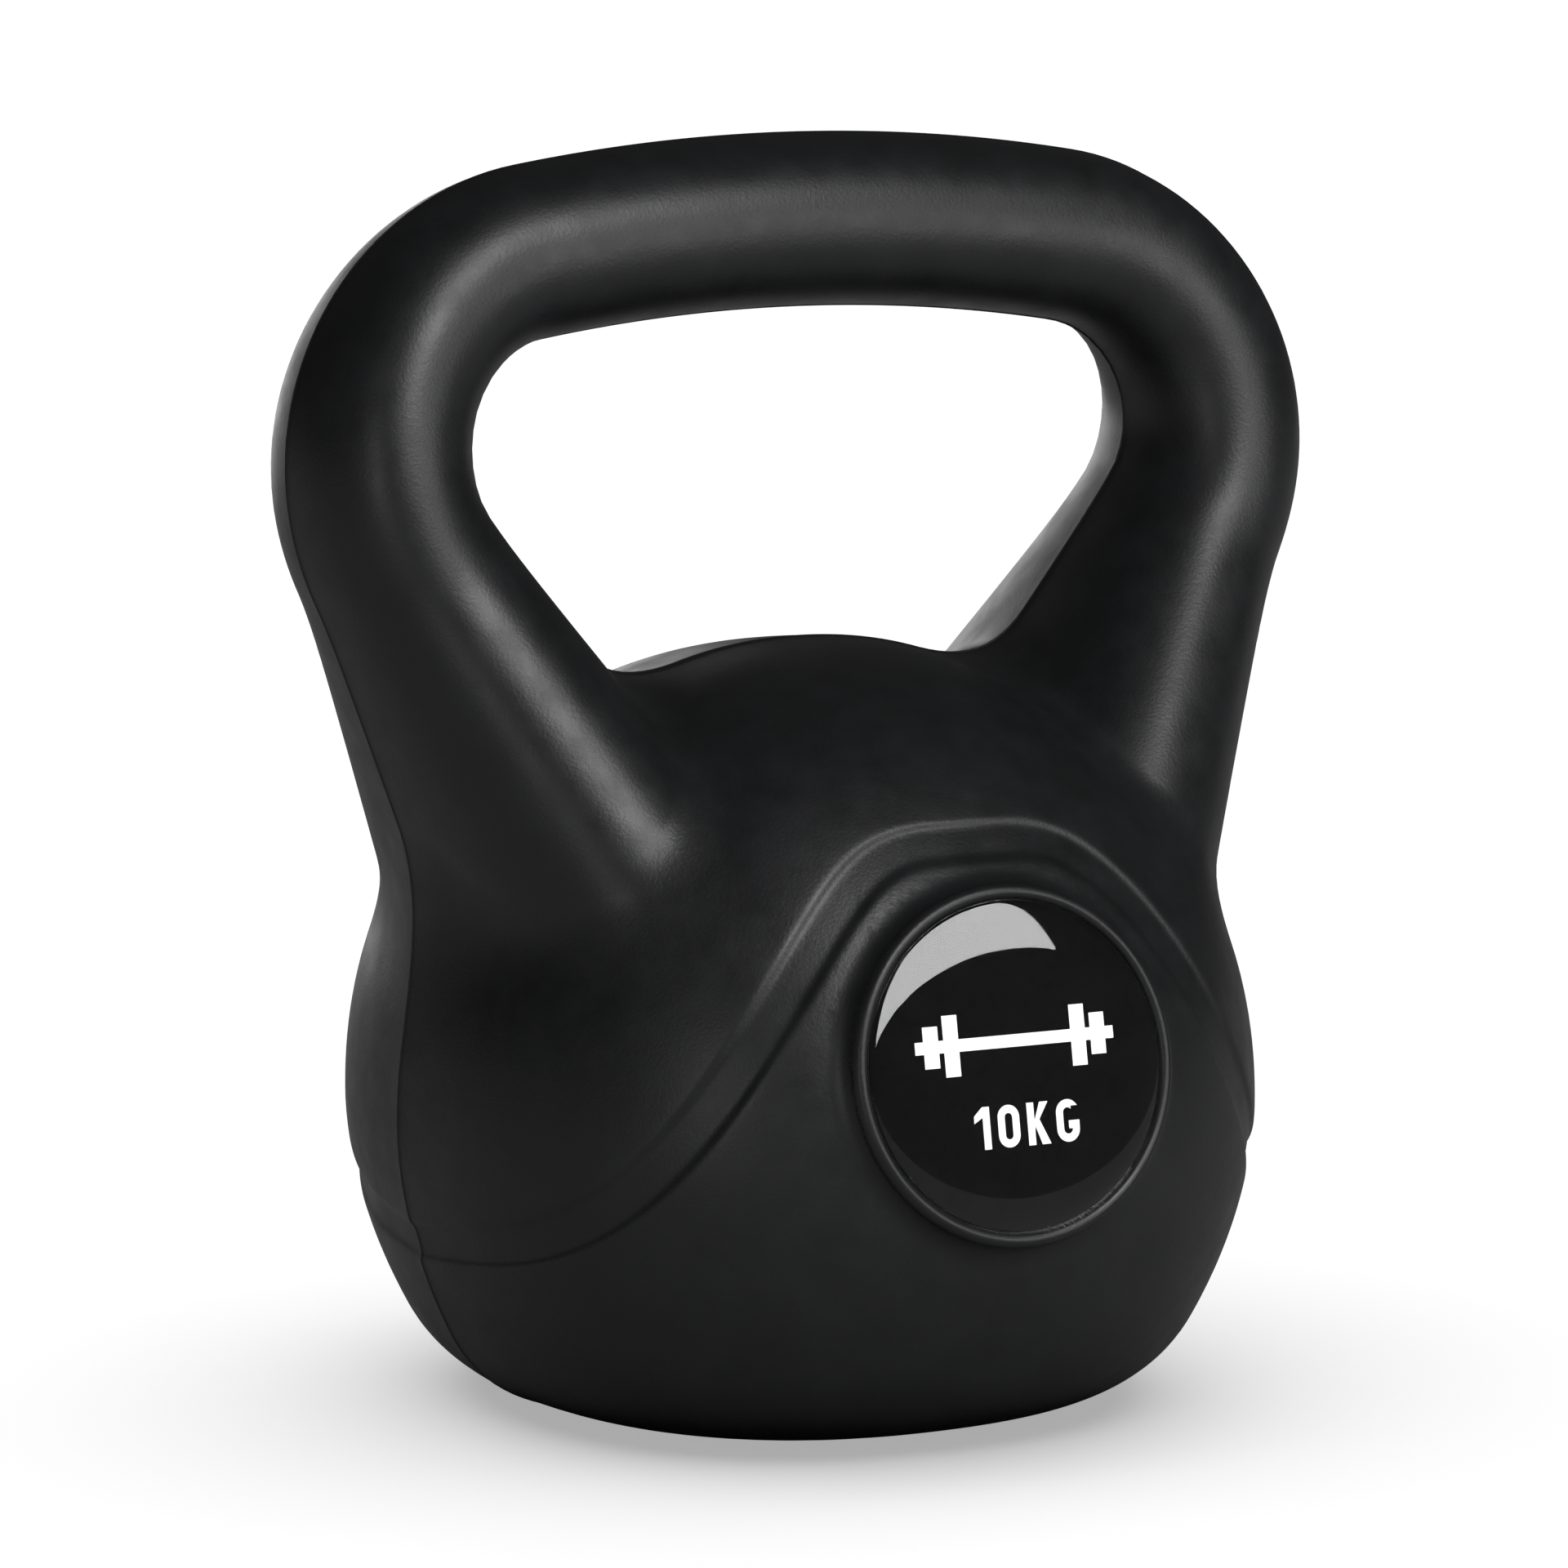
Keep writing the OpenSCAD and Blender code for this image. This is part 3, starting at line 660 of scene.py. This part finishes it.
# %% Clear polyurethane resin, poured and self-levelled
# A clear cast resin: IOR 1.49, almost no roughness, with a very slow unevenness from the pour.
resin, tree, shader, coords = start_material("poured_polyurethane_resin")
shader.inputs["Base Color"].default_value = linear("#fbfcfc")
shader.inputs["Transmission Weight"].default_value = 1.0
shader.inputs["IOR"].default_value = 1.49
tree.links.new(uneven(tree, coords, 8, 0.01, 0.035, 3), shader.inputs["Roughness"])
tree.links.new(grained(tree, coords, 22, 0.02, 1), shader.inputs["Normal"])
for dome in domes:
    dome.data.materials.append(resin)
    # Clear resin hardly shades the print under it.
    dome.visible_shadow = False
print(resin.name, len(tree.nodes), "nodes")

# %% Give the CAD nodes that stay their materials
finishes = {"ballast_core": cement}
for side in ("front", "rear"):
    for layer, material in (("adhesive", adhesive), ("film", vinyl), ("ink", ink)):
        finishes[side + "_label_" + layer] = material
for node, material in finishes.items():
    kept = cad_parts[node]
    if not kept.material_slots:
        print("no slot on", node)
    for slot in kept.material_slots:
        slot.material = material
print("finished", len(finishes), "kept nodes")

# %% [markdown]
# ## Floor, light and camera
#
# A pale seamless floor and large soft lights keep a black object readable: each soft light is drawn
# along an edge as a highlight. The camera is far away with a long lens, so the sides stay upright.

# %% Floor
floor_mesh = bpy.data.meshes.new("floor")
half = 30.0
floor_mesh.from_pydata([(-half, -half, 0), (half, -half, 0), (half, half, 0), (-half, half, 0)], [],
                       [(0, 1, 2, 3)])
floor = bpy.data.objects.new("floor", floor_mesh)
bpy.context.scene.collection.objects.link(floor)
paper, tree, shader, _ = start_material("matt_paper_floor")
# The camera sees pale paper, but the paper that lights the object is held down, as black cards beside
# it would do, so that a black object stays black. Only the stage does this, and no piece of the object.
seen = add_node(tree, "LightPath").outputs["Is Camera Ray"]
sweep = add_node(tree, "ValToRGB", Fac=seen)
sweep.color_ramp.elements[0].color = linear("#a4a4a4")
sweep.color_ramp.elements[1].color = linear("#fdfdfd")
tree.links.new(sweep.outputs["Color"], shader.inputs["Base Color"])
shader.inputs["Roughness"].default_value = 0.9
# The paper is lit from behind as well: a pale glow, seen by the camera only, keeps the shadow light.
shader.inputs["Emission Color"].default_value = (1, 1, 1, 1)
glow = add_node(tree, "MapRange", Value=seen, To_Min=0.0, To_Max=0.4).outputs["Result"]
tree.links.new(glow, shader.inputs["Emission Strength"])
shader.inputs["Specular IOR Level"].default_value = 0.0
floor_mesh.materials.append(paper)
print("floor:", 2 * half, "m square")


# %% Lights
# Lamps and camera all face a point half way up the object.
aim = Vector((0, 0, 0.14))


def towards(azimuth, elevation):
    """Unit vector at degrees round from the front, counted to the right, and degrees up."""
    a, e = math.radians(azimuth), math.radians(elevation)
    return Vector((math.sin(a) * math.cos(e), -math.cos(a) * math.cos(e), math.sin(e)))


def group(name, members):
    """A collection that a lamp is limited to, as a flag beside a lamp keeps its light off other parts."""
    made = bpy.data.collections.new(name)
    for member in members:
        made.objects.link(member)
    return made


label_pieces = domes + [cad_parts[side + "_label_" + layer]
                        for layer in ("ink", "film") for side in ("front", "rear")]
body_group = group("lit_as_body", [shell, plug])
label_group = group("lit_as_label", label_pieces)


def soft_light(name, azimuth, elevation, distance, wide, tall, power, onto):
    """Rectangular area light at a direction from the object, facing it, unseen by the camera."""
    data = bpy.data.lights.new(name, "AREA")
    data.shape, data.size, data.size_y, data.energy = "RECTANGLE", wide, tall, power
    lamp = bpy.data.objects.new(name, data)
    lamp.location = aim + towards(azimuth, elevation) * distance
    lamp.rotation_euler = (-towards(azimuth, elevation)).to_track_quat("-Z", "Y").to_euler()
    lamp.visible_camera = False
    lamp.light_linking.receiver_collection = onto
    bpy.context.scene.collection.objects.link(lamp)


# Degrees round, degrees up, metres away, metres wide, metres tall, watts, and what it lights.
soft_light("key", 8, 33, 1.6, 0.6, 0.8, 15, body_group)
soft_light("front_right", 26, 3, 1.6, 0.5, 0.45, 3.6, body_group)
soft_light("front_left", -50, 6, 1.6, 0.45, 0.6, 1.5, body_group)
soft_light("back", 174, 8, 1.5, 0.9, 0.6, 3.5, body_group)
soft_light("front_label", 16.5, 27, 1.6, 0.92, 0.8, 27, label_group)
soft_light("rear_label", 196.5, 27, 1.6, 0.92, 0.8, 27, label_group)

# One wide lamp lights the paper alone, so that it is evenly pale to the horizon.
floor_lamp_data = bpy.data.lights.new("paper_lamp", "SUN")
floor_lamp_data.energy, floor_lamp_data.angle = 2.0, math.radians(90)
floor_lamp = bpy.data.objects.new("paper_lamp", floor_lamp_data)
bpy.context.scene.collection.objects.link(floor_lamp)
floor_lamp.light_linking.receiver_collection = group("lit_by_paper_lamp", [floor])

# %% Surroundings: pale to the camera, dim to the object
world = bpy.data.worlds.new("studio")
bpy.context.scene.world = world
world.use_nodes = True
tree = world.node_tree
seen = add_node(tree, "LightPath").outputs["Is Camera Ray"]
level = add_node(tree, "MapRange", Value=seen, To_Min=0.035, To_Max=1.0).outputs["Result"]
tree.links.new(level, tree.nodes["Background"].inputs["Strength"])
tree.nodes["Background"].inputs["Color"].default_value = (1, 1, 1, 1)
bpy.context.scene.view_settings.view_transform = "Standard"
print("surroundings:", world.name)

# %% Camera
camera_data = bpy.data.cameras.new("camera")
camera = bpy.data.objects.new("camera", camera_data)
bpy.context.scene.collection.objects.link(camera)
azimuth, elevation, distance = -28.147, 7.647, 1.66667
camera.location = aim + towards(azimuth, elevation) * distance
camera.rotation_euler = (-towards(azimuth, elevation)).to_track_quat("-Z", "Y").to_euler()
# A long lens, in mm on a 36 mm sensor. The shifts, in sensor widths, centre the object in the frame.
camera_data.sensor_width = 36
camera_data.lens = 172.85
camera_data.shift_x, camera_data.shift_y = -0.00874, -0.01222
bpy.context.scene.camera = camera
print("camera at", [round(c, 3) for c in camera.location])
